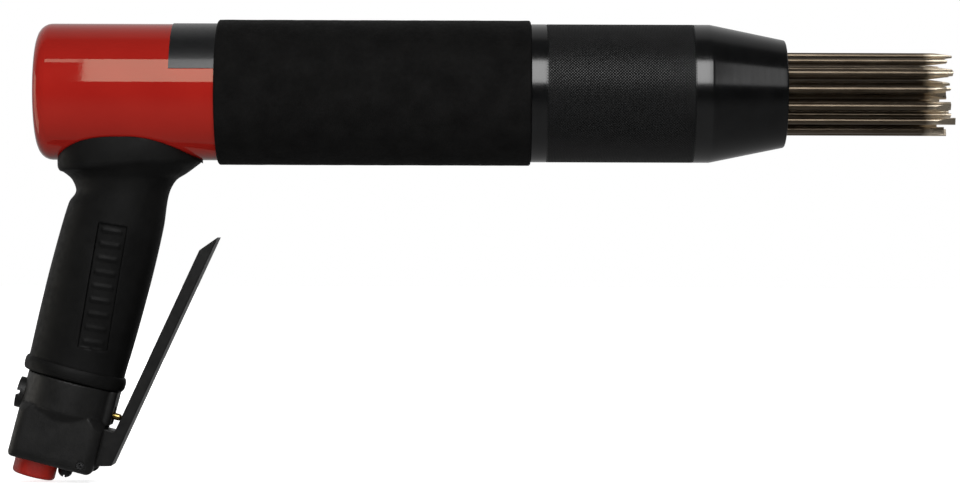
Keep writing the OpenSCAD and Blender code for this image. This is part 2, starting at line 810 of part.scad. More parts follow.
module valve_body_block() {
    intersection() {
        body_blend();
        translate([0, 0, -body_end]) linear_extrude(height = body_end - shoulder_w)
            round_rect(-body_rear, -body_w / 2, body_front, body_w / 2, body_corner_r);
        rotate([90, 0, 0]) linear_extrude(height = body_d, center = true) body_side();
        rotate([90, 0, 90]) linear_extrude(height = 2 * body_d, center = true)
            round_rect(-body_w / 2, -body_end, body_w / 2, -grip_end, body_edge_r);
    }
}

// Square boss round the stem's gland, above the lever's slot
module gland_boss() {
    end = pivot_w - slot_above;
    translate([0, 0, -end]) linear_extrude(height = end - grip_end)
        round_rect(0, -gland_w / 2, gland_front, gland_w / 2, gland_edge_r);
}

module valve_body() {
    color("#1d1d1c") in_handle() difference() {
        union() {
            post(0, grip_end - socket_neck_l, grip_end + overrun, socket_neck_r);
            post(0, grip_end, shoulder_w, body_r);
            translate([0, 0, -shoulder_w - shoulder_l])
                cylinder(h = shoulder_l, r1 = body_w / 2, r2 = body_r, $fn = round_fn);
            valve_body_block();
            gland_boss();
        }
        post(0, grip_end - socket_neck_l - overrun, core_end, core_r + seat_gap);
        spindle(-body_d, seat_u, valve_w, valve_chamber_r);
        spindle(-body_d, valve_cap_u, valve_w, valve_cap_r + seat_gap);
        spindle(seat_u - overrun, gland_u + overrun, valve_w, throat_r);
        spindle(gland_u, body_d, valve_w, gland_r);
        post(riser_u, core_end - overrun, valve_w, riser_r);
        post(inlet_u, valve_w, bush_top, bush_throat_r);
        post(inlet_u, bush_top - strainer_t, body_end + overrun, bush_r + press_gap);
        post(screw_u, body_end - screw_l, body_end + overrun, screw_r + press_gap);
        translate([slot_back_u, -lever_w / 2 - clear_gap, -body_end - overrun])
            cube([body_d, lever_w + 2 * clear_gap, body_end + overrun - pivot_w + slot_above]);
        cross_rod(pivot_u, pivot_w, 2 * body_w, pin_r + press_gap);
    }
}

// Side outline of the lever, with its pivot at the origin and its blade rising along y
module lever_outline() {
    circle(r = tongue_r, $fn = round_fn);
    polygon([[0, -tongue_r], [lever_out - lever_heel, lever_foot], [lever_out, lever_foot + lever_foot_rise],
        [lever_out, lever_l], [lever_in, lever_l - lever_bevel], [lever_in, tongue_top],
        [-tongue_r, tongue_low], [-tongue_r, 0]]);
}

module throttle_lever() {
    color("#232322") in_handle() translate([pivot_u, 0, -pivot_w]) rotate([0, lever_lean, 0]) difference() {
        rotate([90, 0, 0]) linear_extrude(height = lever_w, center = true) lever_outline();
        cross_rod(0, 0, 2 * lever_w, pin_r + run_gap);
        translate([lever_in - overrun, -lever_w / 2 + lever_side, channel_low])
            cube([lever_t - lever_web + overrun, lever_w - 2 * lever_side,
                lever_l - channel_end - channel_low]);
    }
}

module lever_pin() {
    length = body_w - 2 * pin_inset;
    color("#6f7275") in_handle() difference() {
        cross_rod(pivot_u, pivot_w, length, pin_r);
        cross_rod(pivot_u, pivot_w, length + 2 * overrun, pin_r * pin_bore_share);
    }
}

module valve_stem() {
    color("#c9a23f") in_handle() {
        spindle(valve_head_u - valve_head_t - stem_tail, stem_tip_u - stem_r, valve_w, stem_r);
        translate([stem_tip_u - stem_r, 0, -valve_w]) sphere(r = stem_r, $fn = round_fn);
    }
}

module valve_head() {
    color("#161616") in_handle() difference() {
        spindle(valve_head_u - valve_head_t, valve_head_u, valve_w, valve_head_r);
        spindle(-body_d, body_d, valve_w, stem_r + press_gap);
    }
}

module valve_spring() {
    rear_u = valve_cap_u + valve_plug_l;
    color("#8d9094") in_handle() translate([rear_u, 0, -valve_w]) rotate([0, 90, 0])
        coil("valve_spring", valve_spring_r, valve_wire, valve_head_u - valve_head_t - rear_u,
            valve_spring_turns);
}

module valve_cap() {
    plug_r = valve_chamber_r - seat_gap;
    color("#2a2a29") in_handle() translate([valve_cap_u, 0, -valve_w]) rotate([0, 90, 0]) difference() {
        rotate_extrude($fn = round_fn)
            polygon(concat([[0, -valve_cap_t], [valve_cap_r, -valve_cap_t], [valve_cap_r, 0], [plug_r, 0]],
                groove(plug_r, valve_plug_l / 2, small_seal_r),
                [[plug_r, valve_plug_l], [0, valve_plug_l]]));
        translate([-cap_slot_w / 2, -valve_cap_r, -valve_cap_t - overrun])
            cube([cap_slot_w, 2 * valve_cap_r, cap_slot_depth + overrun]);
    }
}

module cap_seal() {
    color("#161616") in_handle() translate([valve_cap_u + valve_plug_l / 2, 0, -valve_w]) rotate([0, 90, 0])
        seal_ring(valve_chamber_r - seat_gap, small_seal_r);
}

module stem_bush() {
    color("#b08a3c") in_handle() difference() {
        spindle(stem_bush_u, gland_front - stem_bush_inset, valve_w, gland_r - press_gap);
        spindle(-body_d, body_d, valve_w, stem_r + run_gap);
    }
}

module stem_seal() {
    section_r = (gland_r - stem_r) / 2;
    color("#161616") in_handle() translate([gland_u + stem_seal_l / 2, 0, -valve_w]) rotate([0, 90, 0])
        seal_ring(gland_r, section_r);
}

// Air inlet

module inlet_bush() {
    color("#8b8e90") in_handle() difference() {
        post(inlet_u, bush_top, bush_end, bush_r);
        post(inlet_u, bush_top - overrun, bush_end + overrun, inlet_r);
    }
}

module inlet_strainer() {
    color("#b9bcbe") in_handle() difference() {
        post(inlet_u, bush_top - strainer_t, bush_top, bush_r - seat_gap);
        for (k = [0:strainer_count - 1]) translate([inlet_u, 0, 0]) rotate([0, 0, 360 * k / strainer_count])
            post(bush_throat_r * strainer_ring_share, bush_top - strainer_t - overrun, bush_top + overrun,
                strainer_hole_r);
    }
}

module inlet_cap() {
    top_w = body_end + inlet_cap_lift;
    end_w = top_w + inlet_cap_h;
    color("#c02a22") in_handle() translate([inlet_u, 0, 0]) rotate_extrude($fn = round_fn)
        polygon(concat([[0, -end_w]],
            arc(inlet_cap_r - inlet_cap_edge_r, -end_w + inlet_cap_edge_r, inlet_cap_edge_r, -90, 0),
            [[inlet_cap_r, -top_w], [inlet_cap_bore_r, -top_w], [inlet_cap_bore_r, -end_w + inlet_cap_end],
            [0, -end_w + inlet_cap_end]]));
}

module base_screw() {
    crown = screw_head_h - screw_head_r;
    color("#1d1d1c") in_handle() translate([screw_u, 0, -body_end]) difference() {
        rotate_extrude($fn = round_fn)
            polygon(concat([[0, screw_l], [0, -screw_head_h]],
                arc(0, -crown, screw_head_r, -90, 0),
                [[screw_head_r, 0], [screw_r, 0], [screw_r, screw_l]]));
        translate([-screw_slot_w / 2, -screw_head_r, -screw_head_h - overrun])
            cube([screw_slot_w, 2 * screw_head_r, screw_slot_depth + overrun]);
    }
}

rear_housing();
tube_seal();
body_tube();
grip_sleeve();
front_tube();
nose_seal();
front_buffer();
rear_buffer();
isolation_spring();
hammer_cylinder();
cylinder_seal();
cylinder_cap();
front_bush();
piston();
anvil();
needle_holder();
needles_outer();
needles_middle();
needles_inner();
needle_spring();
spring_seat();
handle_core();
core_seal();
handle_grip();
valve_body();
throttle_lever();
lever_pin();
valve_stem();
valve_head();
valve_spring();
valve_cap();
cap_seal();
stem_bush();
stem_seal();
inlet_bush();
inlet_strainer();
inlet_cap();
base_screw();
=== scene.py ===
"""Looks of a pistol-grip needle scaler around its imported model, in metres, with the barrel along X."""

import math

import bmesh
import bpy
import numpy as np
from mathutils import Matrix, Vector, noise


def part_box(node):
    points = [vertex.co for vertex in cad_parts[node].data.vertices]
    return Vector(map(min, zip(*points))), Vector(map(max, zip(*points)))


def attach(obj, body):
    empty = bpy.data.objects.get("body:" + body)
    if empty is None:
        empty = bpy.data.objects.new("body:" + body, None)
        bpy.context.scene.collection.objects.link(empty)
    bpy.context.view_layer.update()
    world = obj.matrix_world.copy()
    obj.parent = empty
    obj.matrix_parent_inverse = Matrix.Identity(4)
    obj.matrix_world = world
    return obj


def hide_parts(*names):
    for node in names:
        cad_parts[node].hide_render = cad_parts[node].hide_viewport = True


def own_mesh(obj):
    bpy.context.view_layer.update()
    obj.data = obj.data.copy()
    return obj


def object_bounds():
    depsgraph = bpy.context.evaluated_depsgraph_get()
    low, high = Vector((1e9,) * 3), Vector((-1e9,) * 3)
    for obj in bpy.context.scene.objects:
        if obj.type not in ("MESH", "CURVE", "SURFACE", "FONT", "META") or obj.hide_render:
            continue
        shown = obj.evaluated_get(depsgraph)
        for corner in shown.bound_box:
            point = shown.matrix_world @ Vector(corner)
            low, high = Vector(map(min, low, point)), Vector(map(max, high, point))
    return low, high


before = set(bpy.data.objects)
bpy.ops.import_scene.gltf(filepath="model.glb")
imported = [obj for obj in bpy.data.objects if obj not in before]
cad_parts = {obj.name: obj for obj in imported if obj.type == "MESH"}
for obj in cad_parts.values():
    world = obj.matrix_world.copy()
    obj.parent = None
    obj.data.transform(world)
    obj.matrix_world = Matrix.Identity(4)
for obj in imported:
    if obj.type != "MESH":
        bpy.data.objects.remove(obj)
cad_low, cad_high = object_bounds()

MM = 0.001
TAU = 2 * math.pi

# Barrel sizes, read from the frame
housing_low, housing_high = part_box("rear_housing")
sleeve_low, sleeve_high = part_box("grip_sleeve")
nose_low, nose_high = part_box("front_tube")
HOUSING_R = housing_high.z
SLEEVE_R = sleeve_high.z
NOSE_R = nose_high.z

# How near two points count as one, and how near to an edge or a surface a point counts as on it
WELD = 0.001 * MM
ON_EDGE = 0.01 * MM
ON_SURFACE = 0.02 * MM

# Rear housing's rounded end, and how much further back than in the model the photograph shows it
HOUSING_CORNER = 6 * MM
HOUSING_REACH = 1.05 * MM

# Label plate on the rear housing: its angles run from the top towards the camera
PLATE_REAR = -153.1 * MM
PLATE_GAP = 0.02 * MM
PLATE_THICK = 0.35 * MM
PLATE_FAR = math.radians(-24)
PLATE_NEAR = math.radians(72.7)
PLATE_AROUND = 48
PLATE_ALONG = 12

# Foam sleeve: its mesh, its rounded ends and its unevenness
SLEEVE_AROUND = 192
SLEEVE_ROWS = 200
SLEEVE_EDGE = 1.2 * MM
SLEEVE_TURNS = (22, 45, 68, 90)
SLEEVE_WALL = 3.2 * MM
LUMP_SIZE = 5 * MM
LUMP_DEPTH = 0.06 * MM

# Front tube
NOSE_STRAIGHT = 76.7 * MM
REAR_BAND = 6.6 * MM
FRONT_BAND = 6.9 * MM
BAND_EDGE = 0.3 * MM
SHOULDER_DROP = 0.03 * MM
TAPER_L = 31.3 * MM
TAPER_R = 23.2 * MM
TAPER_SHARES = (0.03, 0.35, 0.7, 0.98)
MOUTH_EDGE = 1.0 * MM
MOUTH_EDGE_STEPS = 7
MOUTH_R = 19.0 * MM
MOUTH_DEPTH = 38.0 * MM
BORE_R = 22.5 * MM
SPIGOT_R = 25.5 * MM

# Knurl between the front tube's bands
KNURL_START = REAR_BAND
KNURL_END = NOSE_STRAIGHT - FRONT_BAND
KNURL_AROUND = 148
KNURL_PITCH = 1.26 * MM
KNURL_DEPTH = 0.22 * MM
KNURL_TOP_SHARE = 0.42
KNURL_EDGE = 0.05 * MM
KNURL_ROUGHER = 0.26

# Needles: where their bright ground tips begin and are in full
TIP_FADE = (168 * MM, 172 * MM)

# Handle: u runs forward, y across and w down the handle axis
HANDLE_X = -164.3 * MM
RAKE = math.radians(14.4)
GRIP_END = 128 * MM
CORE_R = 10.1 * MM
SOCKET_R = 13.1 * MM
SOCKET_L = 8 * MM

# Grip's saddle and flange: the powers square its outline, the tilt is a share of the rake, and the lip's and
# the rim's rings lie at turns in degrees
SADDLE_GAP = 0.1 * MM
SADDLE_LIP = 1.2 * MM
SADDLE_SHARES = (0.33, 0.67)
LIP_TURNS = (0, 30, 60, 90)
FLANGE_L = 61.9 * MM
FLANGE_W = 44.8 * MM
FLANGE_RIM = 3.7 * MM
FLANGE_RIM_R = 1.6 * MM
FLANGE_ROUND = 3.2 * MM
FLANGE_SHIFT = 0.65 * MM
FLANGE_TILT_SHARE = 1.24
FLANGE_FRONT_POWER = 2.1
FLANGE_REAR_POWER = 3.1
ROUND_POWER = 2.0
RIM_TURNS = (0, 12, 24, 36, 48)

# Grip's sides, bead and skirt. The flare's sections have shares of the way to the neck, of the swell to the
# flange and of the length added at the rear. The palm's have shares of the way to the bead and of the swell.
# The skirt's have a share of the way down and what they lose across.
NECK_L = 41.4 * MM
NECK_DROP = 8 * MM
NECK_WIDTH_SHARE = 0.955
PALM_L = 43.4 * MM
PALM_W = 36.6 * MM
HEEL_SWELL_SHARE = 0.25
FLARE_SHARES = ((0.28, 0.42, 0.1), (0.6, 0.12, 0.07))
PALM_SHARES = ((0.16, 0.35), (0.45, 1), (0.72, 0.85), (0.97, HEEL_SWELL_SHARE + 0.02))
SIDE_STEPS = (6, 6, 6, 10, 56, 56, 40)
BEAD_UP = 6.4 * MM
BEAD_H = 6.1 * MM
BEAD_LIP = 1.3 * MM
BEAD_POWER = 0.85
BEAD_STEPS = 15
SKIRT_SECTIONS = ((0.25, 0.5 * MM), (0.6, 1.2 * MM), (0.9, 1.8 * MM), (1, 3.2 * MM))

# Panels in the grip's sides, their ribs, and the mesh columns across a panel, before it and behind it
PANEL_L = 54 * MM
PANEL_W = 12.6 * MM
PANEL_DEPTH = 1.4 * MM
PANEL_AHEAD = 3.9 * MM
PANEL_TURN = math.radians(5)
PANEL_EDGE = 0.5 * MM
PANEL_DOWN_SHARE = 0.545
RIB_COUNT = 9
RIB_RISE = 0.45 * MM
RIB_INSET = 1.8 * MM
RIB_FADE = 0.5 * MM
RIB_STEEPNESS = 4
PANEL_COLUMNS = 21
FRONT_COLUMNS = 54
REAR_COLUMNS = 64

# How strongly each pass smooths a casting
CASTING_SMOOTHING = 0.5

# Values between which noise mostly lies, and the Mix node's sockets for colours
NOISE_LOW = 0.3
NOISE_HIGH = 0.7
MIX_SHARE = 0
MIX_BASE = 6
MIX_TOP = 7
MIX_RESULT = 2

# Photograph's frame, in pixels, and its scale at the barrel axis
IMAGE_W = 960
IMAGE_H = 489
SHOULDER_PX = 530
AXIS_PX = 93.2
PX = 0.43 * MM
CAMERA_AWAY = 1.333
CAMERA_ROLL = math.radians(0.19)
CAMERA_CLIP = (0.05, 50)
SENSOR = 36.0

# Floor, and its glow near the object and far from it, between two distances
FLOOR_R = 6
FLOOR_SIDES = 96
FLOOR_GAP = 0.4 * MM
FLOOR_GLOW = (0.75, 1.1)
FLOOR_FADE = (0.3, 1.6)

# Surround's light by angle about the barrel, from the front under the object to the back at zero and over it
# to the front. Ahead of the nose it dims to a share, between two values of the direction's X.
SURROUND = ((-180, 0.012), (-172, 0.02), (-160, 0.11), (-150, 0.16), (-90, 0.19), (-30, 0.28), (0, 0.5),
            (40, 0.5), (75, 0.25), (85, 0.05), (180, 0.012))
FRONT_FADE = (0.2, 0.5)
FRONT_SHARE = 0.5

# Softboxes before the object: both ends along X, two elevations in degrees, glow and number of flat strips
LIGHT_AWAY = 1.25
SOFTBOXES = {
    "softbox": (-0.346, 0.30, 14.5, 53.5, 4.3, 5),
    "strip": (-0.45, -0.348, 47.5, 53.5, 2.8, 1),
    "side_card": (0.66, 0.90, 14.5, 55, 1.0, 1),
}

# Flat panels: place, aim, size and glow
LEFT_CARD = ((-1.1, 0.1, -0.2), (-0.2, 0, -0.08), (0.5, 0.9), 1.2)
LEFT_CARD_COLOUR = (1, 0.95, 0.84)
FILLS = {
    "fill": ((-0.05, -1.25, -0.4), (-0.05, 0, -0.05), (2.4, 2.4), 1.05),
    "back_fill": ((-0.05, 1.3, 0.3), (-0.05, 0, -0.05), (2.4, 2.0), 1.4),
}


def lerp(a, b, share):
    return a + (b - a) * share


# Places down the handle axis
RIM_W = (HOUSING_R + FLANGE_RIM - FLANGE_RIM_R) / math.cos(RAKE)
NECK_W = RIM_W + FLANGE_RIM_R + NECK_DROP
BEAD_W = GRIP_END - BEAD_UP
PANEL_MID_W = lerp(NECK_W, BEAD_W, PANEL_DOWN_SHARE)


# Node helpers for the materials

def new_node(tree, kind, inputs=None, **settings):
    """A shader node with its settings, and its sockets set to values or joined to other sockets."""
    node = tree.nodes.new(kind)
    for key, value in settings.items():
        setattr(node, key, value)
    for socket, value in (inputs or {}).items():
        if isinstance(value, bpy.types.NodeSocket):
            tree.links.new(value, node.inputs[socket])
        else:
            node.inputs[socket].default_value = value
    return node


class Finish:
    """A material in the making: its tree, its shader and its object coordinates."""

    def __init__(self, name, sockets):
        self.material = bpy.data.materials.new(name)
        self.material.use_nodes = True
        self.tree = self.material.node_tree
        self.shader = self.tree.nodes["Principled BSDF"]
        for socket, value in sockets.items():
            self.shader.inputs[socket].default_value = value
        self.coords = new_node(self.tree, "ShaderNodeTexCoord").outputs["Object"]
        self.normal = None

    def stretched(self, scale):
        """Object coordinates scaled axis by axis."""
        inputs = {"Vector": self.coords, "Scale": scale}
        return new_node(self.tree, "ShaderNodeMapping", inputs).outputs["Vector"]

    def speckle(self, size, detail=3.0, coords=None):
        """Noise whose features are about size across."""
        inputs = {"Vector": coords or self.coords, "Scale": 1 / size, "Detail": detail}
        return new_node(self.tree, "ShaderNodeTexNoise", inputs).outputs["Fac"]

    def cells(self, size):
        """Distance to the nearest of points set about size apart."""
        inputs = {"Vector": self.coords, "Scale": 1 / size}
        return new_node(self.tree, "ShaderNodeTexVoronoi", inputs).outputs["Distance"]

    def span(self, value, low, high, start=NOISE_LOW, end=NOISE_HIGH):
        """A value spread from low to high, as it runs from start to end."""
        inputs = {"Value": value, "From Min": start, "From Max": end, "To Min": low, "To Max": high}
        return new_node(self.tree, "ShaderNodeMapRange", inputs).outputs["Result"]

    def combine(self, operation, *values):
        """The result of an operation on values."""
        inputs = dict(enumerate(values))
        return new_node(self.tree, "ShaderNodeMath", inputs, operation=operation).outputs["Value"]

    def axis(self, name):
        """One of the object coordinates."""
        return new_node(self.tree, "ShaderNodeSeparateXYZ", {"Vector": self.coords}).outputs[name]

    def edges(self, radius):
        """One at edges sharper than the radius, zero on flat and gently curved faces."""
        soft = new_node(self.tree, "ShaderNodeBevel", {"Radius": radius}, samples=6).outputs["Normal"]
        hard = new_node(self.tree, "ShaderNodeNewGeometry").outputs["Normal"]
        inputs = {0: soft, 1: hard}
        dot = new_node(self.tree, "ShaderNodeVectorMath", inputs, operation="DOT_PRODUCT").outputs["Value"]
        return self.span(dot, low=1.0, high=0.0, start=0.75, end=0.97)

    def tint(self, low, high, value):
        """A colour between low and high, by a value."""
        ramp = new_node(self.tree, "ShaderNodeValToRGB", {"Fac": value})
        stops = ((NOISE_LOW, low), (NOISE_HIGH, high))
        for element, (place, colour) in zip(ramp.color_ramp.elements, stops):
            element.position = place
            element.color = (*colour, 1)
        return ramp.outputs["Color"]

    def over(self, base, top, share):
        """A plain colour laid over a varied one by a share."""
        inputs = {MIX_SHARE: share, MIX_BASE: base, MIX_TOP: (*top, 1)}
        return new_node(self.tree, "ShaderNodeMix", inputs, data_type="RGBA").outputs[MIX_RESULT]

    def set(self, socket, value):
        """Joins a value to one of the shader's sockets."""
        self.tree.links.new(value, self.shader.inputs[socket])

    def relief(self, height, depth):
        """Adds a bump of that depth, on top of any before it."""
        inputs = {"Height": height, "Distance": depth}
        if self.normal:
            inputs["Normal"] = self.normal
        self.normal = new_node(self.tree, "ShaderNodeBump", inputs).outputs["Normal"]
        self.set("Normal", self.normal)


# Materials, one for each slot of the record and one for the label plate

def red_paint():
    """Glossy red paint with a warm shine."""
    dark, light = (0.385, 0.0140, 0.0100), (0.43, 0.0180, 0.0125)
    f = Finish("red_paint", {"Specular IOR Level": 0.5, "Specular Tint": (0.93, 0.95, 0.71, 1.0)})
    f.set("Base Color", f.tint(dark, light, f.speckle(size=30 * MM)))
    f.set("Roughness", f.span(f.speckle(size=6 * MM), low=0.028, high=0.038))
    f.relief(f.speckle(size=1.6 * MM, detail=1.0), depth=0.0015 * MM)
    return f.material


def sleeve_foam():
    """Matt black foam rubber with fine open cells."""
    dark, light = (0.0050, 0.0049, 0.0048), (0.0086, 0.0084, 0.0082)
    f = Finish("sleeve_foam", {"Specular IOR Level": 0.08, "Sheen Weight": 0.015, "Sheen Roughness": 0.5})
    f.set("Base Color", f.tint(dark, light, f.speckle(size=9 * MM, detail=6.0)))
    f.set("Roughness", f.span(f.speckle(size=2 * MM), low=0.75, high=0.95))
    f.relief(f.cells(size=0.55 * MM), depth=0.06 * MM)
    f.relief(f.speckle(size=0.25 * MM, detail=2.0), depth=0.03 * MM)
    return f.material


def nose_black():
    """Black coat on turned steel, rougher in the knurl."""
    dark, light = (0.0025, 0.0026, 0.0028), (0.0055, 0.0057, 0.006)
    f = Finish("nose_black", {"Specular IOR Level": 0.88})
    f.set("Base Color", f.tint(dark, light, f.speckle(size=7 * MM)))
    turning = f.speckle(size=0.35 * MM, detail=2.0, coords=f.stretched((1, 0.02, 0.02)))
    x = f.axis("X")
    past_start = f.span(x, 0.0, 1.0, KNURL_START, KNURL_START + KNURL_PITCH)
    before_end = f.span(x, 1.0, 0.0, KNURL_END - KNURL_PITCH, KNURL_END)
    knurled = f.combine("MULTIPLY", past_start, before_end)
    plain = f.span(turning, low=0.14, high=0.21)
    f.set("Roughness", f.combine("MULTIPLY_ADD", knurled, KNURL_ROUGHER, plain))
    f.relief(turning, depth=0.004 * MM)
    return f.material


def metal(name, low, high, roughness, grain, stretch):
    """Bare metal with a grain of fine lines or spots."""
    f = Finish(name, {"Metallic": 1.0})
    lines = f.speckle(grain, coords=f.stretched(stretch))
    f.set("Base Color", f.tint(low, high, f.speckle(8 * grain, detail=4.0)))
    f.set("Roughness", f.span(lines, *roughness))
    f.relief(lines, depth=0.01 * grain)
    return f.material


def tube_alloy():
    return metal("tube_alloy", low=(0.20, 0.20, 0.21), high=(0.30, 0.30, 0.31), roughness=(0.3, 0.42),
                 grain=0.4 * MM, stretch=(1, 0.05, 0.05))


def spring_steel():
    return metal("spring_steel", low=(0.22, 0.22, 0.23), high=(0.33, 0.33, 0.33), roughness=(0.28, 0.4),
                 grain=0.5 * MM, stretch=(1, 1, 1))


def machined_steel():
    return metal("machined_steel", low=(0.33, 0.33, 0.34), high=(0.45, 0.45, 0.46), roughness=(0.22, 0.36),
                 grain=0.4 * MM, stretch=(1, 0.1, 0.1))


def bronze():
    return metal("bronze", low=(0.34, 0.20, 0.08), high=(0.44, 0.27, 0.11), roughness=(0.28, 0.4),
                 grain=0.4 * MM, stretch=(1, 0.1, 0.1))


def brass():
    return metal("brass", low=(0.55, 0.38, 0.10), high=(0.66, 0.48, 0.17), roughness=(0.2, 0.32),
                 grain=0.3 * MM, stretch=(1, 1, 1))


def needle_steel():
    """Drawn wire with a brown skin and bright ground tips."""
    dark, light, ground = (0.136, 0.106, 0.075), (0.224, 0.179, 0.131), (0.95, 0.82, 0.64)
    f = Finish("needle_steel", {"Metallic": 1.0})
    drawn = f.speckle(size=0.25 * MM, coords=f.stretched((0.02, 1, 1)))
    streaks = f.speckle(size=4 * MM, detail=4.0, coords=f.stretched((0.3, 1, 1)))
    tip = f.span(f.axis("X"), 0.0, 1.0, *TIP_FADE)
    f.set("Base Color", f.over(f.tint(dark, light, streaks), ground, tip))
    f.set("Roughness", f.span(drawn, low=0.25, high=0.37))
    f.relief(drawn, depth=0.008 * MM)
    return f.material


def rubber(name, low, high):
    """Moulded black rubber with a fine matt skin."""
    f = Finish(name, {"Specular IOR Level": 0.22})
    f.set("Base Color", f.tint(low, high, f.speckle(size=12 * MM, detail=5.0)))
    f.set("Roughness", f.span(f.speckle(size=3 * MM, detail=4.0), low=0.50, high=0.66))
    f.relief(f.speckle(size=0.5 * MM), depth=0.02 * MM)
    f.relief(f.speckle(size=5 * MM, detail=2.0), depth=0.05 * MM)
    return f.material


def grip_rubber():
    return rubber("grip_rubber", low=(0.0034, 0.0034, 0.0033), high=(0.0062, 0.0062, 0.0060))


def seal_rubber():
    return rubber("seal_rubber", low=(0.006, 0.006, 0.006), high=(0.011, 0.011, 0.011))


def painted_casting(name, low, high, bare, roughness):
    """Black paint on cast metal, worn at its edges."""
    f = Finish(name, {"Specular IOR Level": 0.45})
    paint = f.tint(low, high, f.speckle(size=6 * MM, detail=5.0))
    worn = f.span(f.speckle(size=1.5 * MM, detail=5.0), low=0.0, high=1.0, start=0.50, end=0.72)
    f.set("Base Color", f.over(paint, bare, f.combine("MULTIPLY", worn, f.edges(radius=0.7 * MM))))
    f.set("Roughness", f.span(f.speckle(size=2 * MM, detail=4.0), *roughness))
    f.relief(f.speckle(size=0.7 * MM), depth=0.03 * MM)
    return f.material


def cast_black():
    return painted_casting("cast_black", low=(0.0075, 0.0075, 0.0073), high=(0.0125, 0.0122, 0.0118),
                           bare=(0.05, 0.049, 0.047), roughness=(0.42, 0.58))


def lever_black():
    return painted_casting("lever_black", low=(0.0075, 0.0074, 0.0072), high=(0.012, 0.0118, 0.0114),
                           bare=(0.055, 0.053, 0.05), roughness=(0.36, 0.5))


def red_plastic():
    """Moulded red plastic that light enters a little."""
    dark, light = (0.33, 0.013, 0.008), (0.40, 0.020, 0.011)
    f = Finish("red_plastic", {"Specular IOR Level": 0.3, "Subsurface Weight": 0.05,
                               "Subsurface Scale": 2 * MM})
    f.set("Base Color", f.tint(dark, light, f.speckle(size=5 * MM, detail=4.0)))
    f.set("Roughness", f.span(f.speckle(size=1.5 * MM), low=0.34, high=0.48))
    f.relief(f.speckle(size=0.6 * MM, detail=2.0), depth=0.02 * MM)
    return f.material


def plate_black():
    """Dark lacquered sheet, for the label plate alone."""
    dark, light = (0.007, 0.0075, 0.008), (0.012, 0.0125, 0.013)
    f = Finish("plate_black", {"Specular IOR Level": 0.5, "Coat Weight": 0.4, "Coat Roughness": 0.12})
    f.set("Base Color", f.tint(dark, light, f.speckle(size=3 * MM, detail=4.0)))
    f.set("Roughness", f.span(f.speckle(size=0.8 * MM), low=0.3, high=0.42))
    f.relief(f.speckle(size=0.4 * MM, detail=2.0), depth=0.004 * MM)
    return f.material


SLOT_FINISHES = (red_paint, sleeve_foam, nose_black, tube_alloy, seal_rubber, spring_steel, machined_steel,
                 needle_steel, bronze, brass, grip_rubber, cast_black, lever_black, red_plastic)
MATERIALS = {make.__name__: make() for make in SLOT_FINISHES}

SLOT_NODES = {
    "red_paint": ["rear_housing"],
    "sleeve_foam": ["grip_sleeve"],
    "nose_black": ["front_tube"],
    "tube_alloy": ["body_tube"],
    "seal_rubber": ["tube_seal", "nose_seal", "cylinder_seal", "core_seal", "cap_seal", "stem_seal",
                    "front_buffer", "rear_buffer", "valve_head"],
    "spring_steel": ["isolation_spring", "needle_spring", "valve_spring"],
    "machined_steel": ["hammer_cylinder", "cylinder_cap", "piston", "anvil", "needle_holder", "spring_seat",
                       "handle_core", "inlet_bush", "inlet_strainer", "lever_pin"],
    "needle_steel": ["needles_outer", "needles_middle", "needles_inner"],
    "bronze": ["front_bush"],
    "brass": ["valve_stem", "stem_bush"],
    "grip_rubber": ["handle_grip"],
    "cast_black": ["valve_body", "valve_cap", "base_screw"],
    "lever_black": ["throttle_lever"],
    "red_plastic": ["inlet_cap"],
}


def dress_nodes():
    """Gives every node of the model its slot's material."""
    for slot, nodes in SLOT_NODES.items():
        for name in nodes:
            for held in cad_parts[name].material_slots:
                held.material = MATERIALS[slot]


# Mesh helpers

def add_piece(name, points, faces, slot, body, **options):
    """A piece made from points and faces, with finish_piece's options."""
    mesh = bpy.data.meshes.new(name)
    mesh.from_pydata([tuple(p) for p in points], [], faces)
    mesh.validate()
    return finish_piece(name, mesh, slot, body, **options)


def finish_piece(name, mesh, slot, body, replaced=(), sharp=40, flat_faces=None, material=None):
    """A mesh that rides on a body, with its slot's material or its own, smooth but for its flat faces and
    for edges sharper than an angle in degrees."""
    work = bmesh.new()
    work.from_mesh(mesh)
    bmesh.ops.recalc_face_normals(work, faces=work.faces)
    work.to_mesh(mesh)
    work.free()
    mesh.shade_smooth()
    mesh.set_sharp_from_angle(angle=math.radians(sharp))
    if flat_faces is not None:
        smooth = np.ones(len(mesh.polygons), bool)
        smooth[flat_faces] = False
        mesh.polygons.foreach_set("use_smooth", smooth)
    mesh.materials.clear()
    mesh.materials.append(material or MATERIALS[slot])
    piece = bpy.data.objects.new(name, mesh)
    bpy.context.scene.collection.objects.link(piece)
    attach(piece, body)
    if replaced:
        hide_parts(*replaced)
    return piece


def merged_copy(node):
    """A copy of a node's mesh with its faces joined along their edges."""
    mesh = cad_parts[node].data.copy()
    work = bmesh.new()
    work.from_mesh(mesh)
    bmesh.ops.remove_doubles(work, verts=work.verts, dist=WELD)
    work.to_mesh(mesh)
    work.free()
    return mesh


def ring_faces(rings, count):
    """Quads that join rings of count points, each to the next and the last to the first."""
    faces = []
    for k in range(rings):
        a, b = k * count, (k + 1) % rings * count
        for s in range(count):
            t = (s + 1) % count
            faces.append((a + s, a + t, b + t, b + s))
    return faces


def turned_rings(profile, count):
    """Rings about the barrel axis through (x, radius) points."""
    angle = np.arange(count) * TAU / count
    return [np.column_stack([np.full(count, x), r * np.sin(angle), r * np.cos(angle)]) for x, r in profile]


def fillet(x, r, edge, start, end, steps=5):
    """Points (x, radius) of a rounded edge about a centre, between two angles in degrees from +X."""
    angles = np.radians(np.linspace(start, end, steps))
    return [(x + edge * math.cos(a), r + edge * math.sin(a)) for a in angles]


# Barrel

